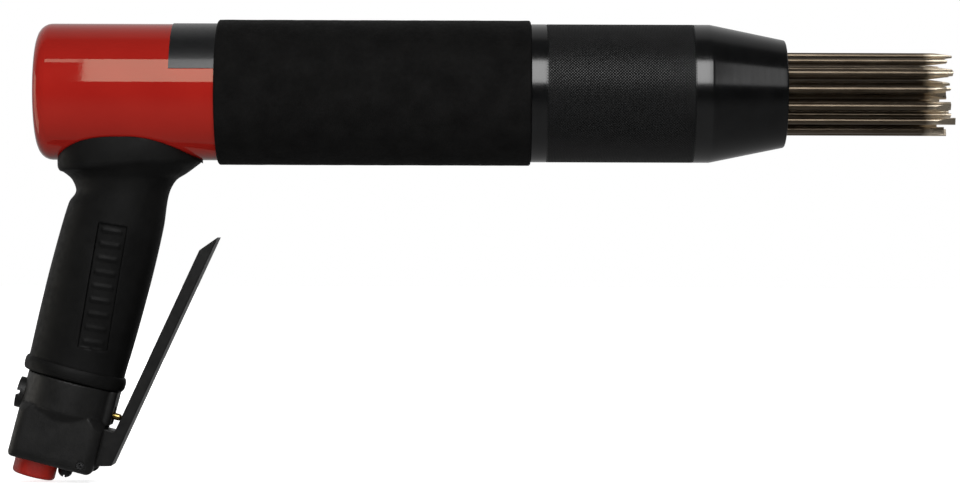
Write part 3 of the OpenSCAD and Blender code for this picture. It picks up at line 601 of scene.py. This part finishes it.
def make_housing():
    """Rear housing with exact normals on its turned outside, so that reflections run straight along it."""
    mesh = merged_copy("rear_housing")
    finish_piece("housing", mesh, "red_paint", "casing", replaced=["rear_housing"], sharp=30)
    corners = np.empty(len(mesh.loops), int)
    mesh.loops.foreach_get("vertex_index", corners)
    points = np.array([vertex.co for vertex in mesh.vertices])
    round_x = housing_low.x + HOUSING_CORNER
    points[points[:, 0] < round_x + ON_EDGE, 0] -= HOUSING_REACH
    mesh.vertices.foreach_set("co", points.ravel())
    r = np.maximum(np.hypot(points[:, 1], points[:, 2]), WELD)
    back = np.minimum(points[:, 0] - round_x + HOUSING_REACH, 0)
    out = r - HOUSING_R + HOUSING_CORNER
    turned = np.abs(np.hypot(back, out) - HOUSING_CORNER) < ON_SURFACE
    ways = np.column_stack([back, points[:, 1] * out / r, points[:, 2] * out / r]) / HOUSING_CORNER
    outside = turned[corners].reshape(-1, 3).all(axis=1).repeat(3)
    mesh.normals_split_custom_set(np.where(outside[:, None], ways[corners], 0).tolist())


def make_label_plate():
    """Bare dark plate bent over the top of the rear housing."""
    turns = np.linspace(PLATE_FAR, PLATE_NEAR, PLATE_AROUND + 1)
    rows = np.linspace(PLATE_REAR, sleeve_low.x - PLATE_GAP, PLATE_ALONG + 1)
    points = [(x, -r * math.sin(a), r * math.cos(a))
              for r in (HOUSING_R + PLATE_GAP, HOUSING_R + PLATE_THICK) for x in rows for a in turns]
    wide = PLATE_AROUND + 1
    layer = wide * (PLATE_ALONG + 1)
    faces = []
    for k in range(PLATE_ALONG):
        for s in range(PLATE_AROUND):
            a = k * wide + s
            faces.append((a, a + wide, a + wide + 1, a + 1))
            faces.append((layer + a, layer + a + 1, layer + a + wide + 1, layer + a + wide))
    rim = list(range(wide))
    rim += [k * wide + PLATE_AROUND for k in range(1, PLATE_ALONG + 1)]
    rim += [PLATE_ALONG * wide + s for s in range(PLATE_AROUND - 1, -1, -1)]
    rim += [k * wide for k in range(PLATE_ALONG - 1, 0, -1)]
    faces += [(a, b, b + layer, a + layer) for a, b in zip(rim, rim[1:] + rim[:1])]
    add_piece("label_plate", points, faces, "nose_black", "casing", material=plate_black())


def sleeve_end(x, inward):
    """Points (x, radius) of the sleeve's soft end at x, from its side to its end face."""
    return [(x + inward * SLEEVE_EDGE * (1 - math.sin(a)), SLEEVE_R - SLEEVE_EDGE * (1 - math.cos(a)))
            for a in np.radians(SLEEVE_TURNS)]


def make_sleeve():
    """Foam sleeve with soft ends and the slight unevenness of moulded foam."""
    x0, x1 = sleeve_low.x, sleeve_high.x
    rows = np.arange(SLEEVE_ROWS + 1) / SLEEVE_ROWS
    side = [(lerp(x0 + SLEEVE_EDGE, x1 - SLEEVE_EDGE, row), SLEEVE_R) for row in rows]
    inside = [(x1, SLEEVE_R - SLEEVE_WALL), (x0, SLEEVE_R - SLEEVE_WALL)]
    profile = sleeve_end(x0, 1)[::-1] + side + sleeve_end(x1, -1) + inside
    rings = turned_rings(profile, SLEEVE_AROUND)
    first = len(SLEEVE_TURNS)
    for ring in rings[first:first + len(side)]:
        for point in ring:
            swell = noise.noise(Vector(point) / LUMP_SIZE) - 1
            point[1:] *= 1 + LUMP_DEPTH * swell / SLEEVE_R
    faces = ring_faces(len(rings), SLEEVE_AROUND)
    add_piece("foam_sleeve", np.vstack(rings), faces, "sleeve_foam", "casing", replaced=["grip_sleeve"])


def front_tube_profile(rows):
    """Points (x, radius) of the front tube behind its knurl, along the knurl's floor, and from there over
    the mouth to the bore."""
    taper_end = NOSE_STRAIGHT + TAPER_L
    mouth_x = nose_high.x
    seat_x = mouth_x - MOUTH_DEPTH
    behind = [(nose_low.x, BORE_R), (nose_low.x, SPIGOT_R), (0, SPIGOT_R)]
    behind += fillet(BAND_EDGE, NOSE_R - BAND_EDGE, BAND_EDGE, 180, 90)
    behind += fillet(KNURL_START - KNURL_EDGE, NOSE_R - KNURL_EDGE, KNURL_EDGE, 90, 0)
    knurl = [(lerp(KNURL_START, KNURL_END, m / rows), NOSE_R - KNURL_DEPTH) for m in range(rows + 1)]
    ahead = fillet(KNURL_END + KNURL_EDGE, NOSE_R - KNURL_EDGE, KNURL_EDGE, 180, 90)
    ahead += [(NOSE_STRAIGHT - BAND_EDGE, NOSE_R), (NOSE_STRAIGHT, NOSE_R - SHOULDER_DROP)]
    ahead += [(lerp(NOSE_STRAIGHT, taper_end, s), lerp(NOSE_R, TAPER_R, s)) for s in TAPER_SHARES]
    ahead += fillet(taper_end, TAPER_R - MOUTH_EDGE, MOUTH_EDGE, 90, 0, MOUTH_EDGE_STEPS)
    ahead += [(mouth_x, MOUTH_R + BAND_EDGE), (mouth_x - BAND_EDGE, MOUTH_R)]
    ahead += [(seat_x, MOUTH_R), (seat_x, BORE_R)]
    return behind, knurl, ahead


def knurl_pyramids(first, first_top, rows, count):
    """Blunt pyramids on a band of rings, each round a point of the band that it makes needless: the points
    of their flat tops, and all faces. The band's points count from first, the tops' from first_top."""
    step, turn = (KNURL_END - KNURL_START) / rows, TAU / count
    points, faces = [], []

    def at(m, s):
        return first + m * count + s % count

    for m in range(1, rows):
        for s in range((m + 1) % 2, count, 2):
            around = [at(m - 1, s), at(m, s + 1), at(m + 1, s), at(m, s - 1)]
            top = []
            for dm, ds in ((-1, 0), (0, 1), (1, 0), (0, -1)):
                x = KNURL_START + step * (m + KNURL_TOP_SHARE * dm)
                a = turn * (s + KNURL_TOP_SHARE * ds)
                top.append(first_top + len(points))
                points.append((x, NOSE_R * math.sin(a), NOSE_R * math.cos(a)))
            faces.append(top)
            faces += [[around[k], around[k - 3], top[k - 3], top[k]] for k in range(4)]
    for m, edge in ((1, 0), (rows - 1, rows)):
        for s in range(m % 2, count, 2):
            faces.append([at(edge, s - 1), at(edge, s), at(m, s)])
            faces.append([at(edge, s), at(edge, s + 1), at(m, s)])
    return points, faces


def without_loose(points, faces):
    """The points that faces use, and the faces renumbered to them."""
    used = sorted({index for face in faces for index in face})
    place = {index: k for k, index in enumerate(used)}
    return np.asarray(points)[used], [[place[index] for index in face] for face in faces]


def make_front_tube():
    """Front tube with plain bands, a diamond knurl between them, and the tapered mouth."""
    count = 2 * KNURL_AROUND
    rows = 2 * round((KNURL_END - KNURL_START) / KNURL_PITCH)
    behind, knurl, ahead = front_tube_profile(rows)
    points = np.vstack(turned_rings(behind + knurl + ahead, count))
    faces = ring_faces(len(points) // count, count)
    first = len(behind) * count
    tops, cut = knurl_pyramids(first, len(points), rows, count)
    plain = faces[:first] + faces[first + rows * count:]
    points, faces = without_loose(np.vstack([points, tops]), plain + cut)
    flat = np.arange(len(plain), len(faces))
    add_piece("nose", points, faces, "nose_black", "casing", replaced=["front_tube"], sharp=25,
              flat_faces=flat)


# Handle

def handle_points(u, y, w):
    """Points of the handle's own frame in the part's frame."""
    return np.column_stack([HANDLE_X + u * math.cos(RAKE) - w * math.sin(RAKE), y,
                            -u * math.sin(RAKE) - w * math.cos(RAKE)])


def grip_columns(half_l, middle):
    """Angles round a section, with columns along the edges of the side panels about their middle."""
    edge, rim = PANEL_W / 2, PANEL_EDGE
    inside = np.linspace(-edge + rim, edge - rim, PANEL_COLUMNS)
    across = np.concatenate([[-edge - rim, -edge], inside, [edge, edge + rim]]) + middle
    turns = np.arccos(np.clip(across / half_l, -1, 1))
    front = np.linspace(turns[-1], -turns[-1], FRONT_COLUMNS)
    rear = np.linspace(-turns[0], turns[0] - TAU, REAR_COLUMNS)
    return np.concatenate([front, -turns[-2:0:-1], rear, turns[1:-1] - TAU])


def squared(value, power):
    """A cosine or sine drawn out towards a squarer outline."""
    return np.sign(value) * np.abs(value) ** (ROUND_POWER / power)


def grip_ring(w, shift, length, width, level, square=0.0):
    """One section about the handle axis, level with the barrel where level is 1: an ellipse, or the
    flange's squarer outline where square is 1."""
    slant = np.clip(w, NECK_W, BEAD_W) - PANEL_MID_W
    t = grip_columns(length / 2, PANEL_AHEAD + slant * math.tan(PANEL_TURN))
    flange_power = np.where(np.cos(t) < 0, FLANGE_REAR_POWER, FLANGE_FRONT_POWER)
    power = lerp(ROUND_POWER, flange_power, square)
    along = length / 2 * squared(np.cos(t), power)
    u = shift + along * math.cos(level * RAKE)
    return handle_points(u, width / 2 * squared(np.sin(t), power), w - along * math.sin(level * RAKE))


def flange_ring(w, inset, level):
    """A section of the flange, drawn in by an inset."""
    shift = FLANGE_SHIFT + (w - RIM_W) * math.tan(RAKE)
    return grip_ring(w, shift, FLANGE_L - 2 * inset, FLANGE_W - 2 * inset, level, 1)


def saddle_z(y, lift=0.0):
    """Height of the housing's underside, a gap and a lift away from it."""
    return -np.sqrt((HOUSING_R + SADDLE_GAP + lift) ** 2 - y ** 2)


def seated(ring, lift):
    """A ring laid on the housing, or lifted off it."""
    return np.column_stack([ring[:, 0], ring[:, 1], saddle_z(ring[:, 1], lift)])


def smooth_rings(keys, steps):
    """Rings on a smooth curve through the key rings, point by point, with steps to each span."""
    spans = [np.linalg.norm(b - a, axis=1).mean() for a, b in zip(keys, keys[1:])]
    place = np.concatenate([[0], np.cumsum(spans)])
    gaps = np.diff(place)[:, None, None]
    keys = np.array(keys)
    slopes = np.zeros_like(keys)
    step = np.diff(keys, axis=0) / gaps
    slopes[1:-1] = (step[:-1] * gaps[1:] + step[1:] * gaps[:-1]) / (gaps[:-1] + gaps[1:])
    slopes[0], slopes[-1] = step[0], step[-1]
    made = []
    for k, count in enumerate(steps):
        h = place[k + 1] - place[k]
        for s in np.arange(count) / count:
            made.append((2 * s ** 3 - 3 * s ** 2 + 1) * keys[k] + (s ** 3 - 2 * s ** 2 + s) * h * slopes[k]
                        + (3 * s ** 2 - 2 * s ** 3) * keys[k + 1] + (s ** 3 - s ** 2) * h * slopes[k + 1])
    return made + [keys[-1]]


def press_panels(rings):
    """Sinks a turned panel into each side of the grip, with plain ribs across its round floor."""
    half_w, half_l = PALM_W / 2 - PANEL_DEPTH, PALM_L / 2 - PANEL_DEPTH
    for ring in rings:
        x, z = ring[:, 0] - HANDLE_X, ring[:, 2]
        u = x * math.cos(RAKE) - z * math.sin(RAKE)
        w = -x * math.sin(RAKE) - z * math.cos(RAKE) - PANEL_MID_W
        across = np.abs((u - PANEL_AHEAD) * math.cos(PANEL_TURN) - w * math.sin(PANEL_TURN))
        down = w * math.cos(PANEL_TURN) + (u - PANEL_AHEAD) * math.sin(PANEL_TURN)
        wall = np.clip((PANEL_W / 2 - across) / PANEL_EDGE, 0, 1)
        wall = np.minimum(wall, np.clip((PANEL_L / 2 - np.abs(down)) / PANEL_EDGE, 0, 1))
        place = (down / PANEL_L + 0.5) * RIB_COUNT
        ridge = np.clip(np.abs(place - np.round(place)) * RIB_STEEPNESS - 1, 0, 1)
        inner = np.clip((PANEL_W / 2 - RIB_INSET - across) / RIB_FADE, 0, 1)
        floor_y = half_w * np.sqrt(np.clip(1 - (u / half_l) ** 2, 0, 1)) + RIB_RISE * ridge * inner
        side = np.where(np.abs(ring[:, 1]) > floor_y, wall, 0)
        ring[:, 1] = np.sign(ring[:, 1]) * lerp(np.abs(ring[:, 1]), floor_y, side)


def grip_top(bore_u, bore_y):
    """Rings of the saddle under the housing, its lip and the flange's rim."""
    bore_w = (-saddle_z(bore_y) - bore_u * math.sin(RAKE)) / math.cos(RAKE)
    bore = handle_points(bore_u, bore_y, bore_w)
    lip = [seated(flange_ring(RIM_W, SADDLE_LIP * (1 - math.sin(a)), 1), SADDLE_LIP * (1 - math.cos(a)))
           for a in np.radians(LIP_TURNS)]
    saddle = [seated(lerp(bore, lip[0], s), 0) for s in SADDLE_SHARES]
    rim = []
    for a in np.radians(RIM_TURNS):
        w = RIM_W + FLANGE_RIM_R - FLANGE_ROUND * (1 - math.sin(a))
        rim.append(flange_ring(w, FLANGE_ROUND * (1 - math.cos(a)), FLANGE_TILT_SHARE))
    return [bore] + saddle + lip + rim


def grip_sides(rim):
    """Rings from the flange's rim over the neck and the palm swell to the bead."""
    neck_width = PALM_W * NECK_WIDTH_SHARE
    keys = [rim]
    for down, swell, added in FLARE_SHARES:
        rear = (FLANGE_L - NECK_L) * added
        w = lerp(RIM_W + FLANGE_RIM_R, NECK_W, down)
        shift = lerp(FLANGE_SHIFT, 0, down) - rear / 2
        length = lerp(NECK_L, FLANGE_L, swell) + rear
        keys.append(grip_ring(w, shift, length, lerp(neck_width, FLANGE_W, swell), 1, swell))
    keys.append(grip_ring(NECK_W, 0, NECK_L, neck_width, 1))
    for down, swell in PALM_SHARES:
        w = lerp(NECK_W, BEAD_W, down)
        keys.append(grip_ring(w, 0, lerp(NECK_L, PALM_L, swell), lerp(neck_width, PALM_W, swell), 0))
    sides = smooth_rings(keys, SIDE_STEPS)
    press_panels(sides)
    return sides


def grip_heel(bore_u, bore_y):
    """Rings of the bead, the skirt below it and the socket for the valve body's neck."""
    length = lerp(NECK_L, PALM_L, HEEL_SWELL_SHARE)
    width = PALM_W * lerp(NECK_WIDTH_SHARE, 1, HEEL_SWELL_SHARE)
    rings = []
    for a in np.radians(np.linspace(0, 180, BEAD_STEPS)):
        w = BEAD_W + BEAD_H * (1 - math.cos(a)) / 2
        out = 2 * BEAD_LIP * abs(math.sin(a)) ** BEAD_POWER
        rings.append(grip_ring(w, 0, length + out, width + out, 0))
    for down, inset in SKIRT_SECTIONS:
        w = lerp(BEAD_W + BEAD_H, GRIP_END, down)
        rings.append(grip_ring(w, 0, length - inset, width - inset, 0))
    wider, socket_w = SOCKET_R / CORE_R, GRIP_END - SOCKET_L
    for scale, w in ((wider, GRIP_END), (wider, socket_w), (1, socket_w)):
        rings.append(handle_points(bore_u * scale, bore_y * scale, np.full(len(bore_u), w)))
    return rings


def make_grip():
    """Rubber grip: saddle under the housing, flange, palm swell, ribbed side panels, bead and skirt."""
    t = grip_columns(PALM_L / 2, PANEL_AHEAD)
    bore_u, bore_y = CORE_R * np.cos(t), CORE_R * np.sin(t)
    top = grip_top(bore_u, bore_y)
    rings = top[:-1] + grip_sides(top[-1]) + grip_heel(bore_u, bore_y)
    faces = ring_faces(len(rings), len(t))
    add_piece("grip", np.vstack(rings), faces, "grip_rubber", "casing", replaced=["handle_grip"], sharp=50)


# Castings and springs

def softened(name, node, slot, body, voxel, passes, keep):
    """A copy of a node with the rounded edges of a casting."""
    scratch = bpy.data.objects.new(name + "_scratch", merged_copy(node))
    bpy.context.scene.collection.objects.link(scratch)
    remesh = scratch.modifiers.new("remesh", "REMESH")
    remesh.mode = "VOXEL"
    remesh.voxel_size = voxel
    smooth = scratch.modifiers.new("smooth", "SMOOTH")
    smooth.factor = CASTING_SMOOTHING
    smooth.iterations = passes
    thin = scratch.modifiers.new("thin", "DECIMATE")
    thin.ratio = keep
    shown = scratch.evaluated_get(bpy.context.evaluated_depsgraph_get())
    made = bpy.data.meshes.new_from_object(shown)
    made.name = name
    bpy.data.objects.remove(scratch)
    finish_piece(name, made, slot, body, replaced=[node], sharp=180)


def make_spring(name, node):
    """A copy of a spring's node in spring steel, with a mesh of its own."""
    mesh = merged_copy(node)
    piece = finish_piece(name, mesh, "spring_steel", "casing", replaced=[node], sharp=60)
    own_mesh(piece)


# Stage, light and camera

def make_floor():
    """A pale floor that takes shadows and leaves the light on the object to the surround."""
    dark, light = (0.86, 0.86, 0.86), (0.90, 0.90, 0.90)
    bpy.ops.mesh.primitive_circle_add(vertices=FLOOR_SIDES, radius=FLOOR_R, fill_type="NGON")
    floor = bpy.context.object
    floor.name = "floor"
    floor.location.z = cad_low.z - FLOOR_GAP
    floor.visible_glossy = False
    floor.visible_diffuse = False
    f = Finish("floor_pale", {"Roughness": 0.9, "Specular IOR Level": 0.1, "Emission Color": (1, 1, 1, 1)})
    f.set("Base Color", f.tint(dark, light, f.speckle(size=400 * MM)))
    away = new_node(f.tree, "ShaderNodeVectorMath", {0: f.coords}, operation="LENGTH").outputs["Value"]
    f.set("Emission Strength", f.span(away, *FLOOR_GLOW, *FLOOR_FADE))
    floor.data.materials.append(f.material)


def surround_ramp(tree, place):
    """The surround's light as a ramp over a place from 0 to 1 round the barrel."""
    ramp = new_node(tree, "ShaderNodeValToRGB", {"Fac": place})
    stops = [((degrees + 180) / 360, glow) for degrees, glow in SURROUND]
    for position, _ in stops[1:-1]:
        ramp.color_ramp.elements.new(position)
    for element, (position, glow) in zip(ramp.color_ramp.elements, stops):
        element.position = position
        element.color = (glow, glow, glow, 1)
    return ramp.outputs["Color"]


def make_world():
    """A studio seen as light by the angle about the barrel's axis, and as plain white by the camera."""
    world = bpy.data.worlds.new("studio")
    bpy.context.scene.world = world
    world.use_nodes = True
    tree = world.node_tree
    tree.nodes.clear()
    way = new_node(tree, "ShaderNodeTexCoord").outputs["Generated"]
    parts = new_node(tree, "ShaderNodeSeparateXYZ", {"Vector": way}).outputs
    inputs = {0: parts["Z"], 1: parts["Y"]}
    angle = new_node(tree, "ShaderNodeMath", inputs, operation="ARCTAN2").outputs["Value"]
    inputs = {"Value": angle, "From Min": -math.pi, "From Max": math.pi}
    place = new_node(tree, "ShaderNodeMapRange", inputs).outputs["Result"]
    inputs = {"Value": parts["X"], "From Min": FRONT_FADE[0], "From Max": FRONT_FADE[1], "To Min": 1.0,
              "To Max": FRONT_SHARE}
    ahead = new_node(tree, "ShaderNodeMapRange", inputs).outputs["Result"]
    inputs = {"Color": surround_ramp(tree, place), "Strength": ahead}
    surround = new_node(tree, "ShaderNodeBackground", inputs).outputs[0]
    backdrop = new_node(tree, "ShaderNodeBackground", {"Color": (1, 1, 1, 1)}).outputs[0]
    seen = new_node(tree, "ShaderNodeLightPath").outputs["Is Camera Ray"]
    mixed = new_node(tree, "ShaderNodeMixShader", {0: seen, 1: surround, 2: backdrop}).outputs[0]
    new_node(tree, "ShaderNodeOutputWorld", {"Surface": mixed})


def make_panel(name, place, aim, size, glow, colour=(1, 1, 1)):
    """A flat light of a given glow that faces a point."""
    data = bpy.data.lights.new(name, "AREA")
    data.shape = "RECTANGLE"
    data.size, data.size_y = size
    data.energy = glow * math.pi * data.size * data.size_y
    data.color = colour
    lamp = bpy.data.objects.new(name, data)
    lamp.location = place
    lamp.rotation_euler = (Vector(aim) - Vector(place)).to_track_quat("-Z", "Y").to_euler()
    lamp.visible_camera = False
    bpy.context.scene.collection.objects.link(lamp)
    return lamp


def make_softbox(name, x0, x1, low, high, glow, strips):
    """A light before the object, from x0 to x1 and between two elevations, in strips about the barrel."""
    x, half = (x0 + x1) / 2, math.radians((high - low) / strips / 2)
    height = 2 * LIGHT_AWAY * math.tan(half)
    for k in range(strips):
        turn = math.radians(low) + half * (2 * k + 1)
        place = (x, -LIGHT_AWAY * math.cos(turn), LIGHT_AWAY * math.sin(turn))
        make_panel("%s_%d" % (name, k + 1), place, (x, 0, 0), (x1 - x0, height), glow)


def make_lights():
    """The softboxes, a warm card behind the rear end, and two fills that reflections don't show."""
    for name, sizes in SOFTBOXES.items():
        make_softbox(name, *sizes)
    make_panel("left_card", *LEFT_CARD, LEFT_CARD_COLOUR)
    for name, sizes in FILLS.items():
        make_panel(name, *sizes).visible_glossy = False


def make_camera():
    """The photograph's view: level, square to the barrel and rolled a little."""
    data = bpy.data.cameras.new("camera")
    data.sensor_width = SENSOR
    data.lens = SENSOR * CAMERA_AWAY / (IMAGE_W * PX)
    data.clip_start, data.clip_end = CAMERA_CLIP
    camera = bpy.data.objects.new("camera", data)
    x = (IMAGE_W / 2 - SHOULDER_PX) * PX
    z = -(IMAGE_H / 2 - AXIS_PX) * PX
    turn = Matrix.Rotation(math.radians(90), 4, "X") @ Matrix.Rotation(CAMERA_ROLL, 4, "Z")
    camera.matrix_world = Matrix.Translation((x, -CAMERA_AWAY, z)) @ turn
    bpy.context.scene.collection.objects.link(camera)
    bpy.context.scene.camera = camera


make_camera()
make_world()
make_lights()
make_floor()
dress_nodes()
make_housing()
make_front_tube()
make_sleeve()
make_label_plate()
make_grip()
make_spring("isolation_coil", "isolation_spring")
make_spring("needle_coil", "needle_spring")
make_spring("valve_coil", "valve_spring")
softened("valve_casting", "valve_body", "cast_black", "casing", voxel=0.45 * MM, passes=4, keep=0.4)
softened("lever_casting", "throttle_lever", "lever_black", "lever", voxel=0.4 * MM, passes=3, keep=0.4)
bpy.context.scene.view_settings.view_transform = "Standard"
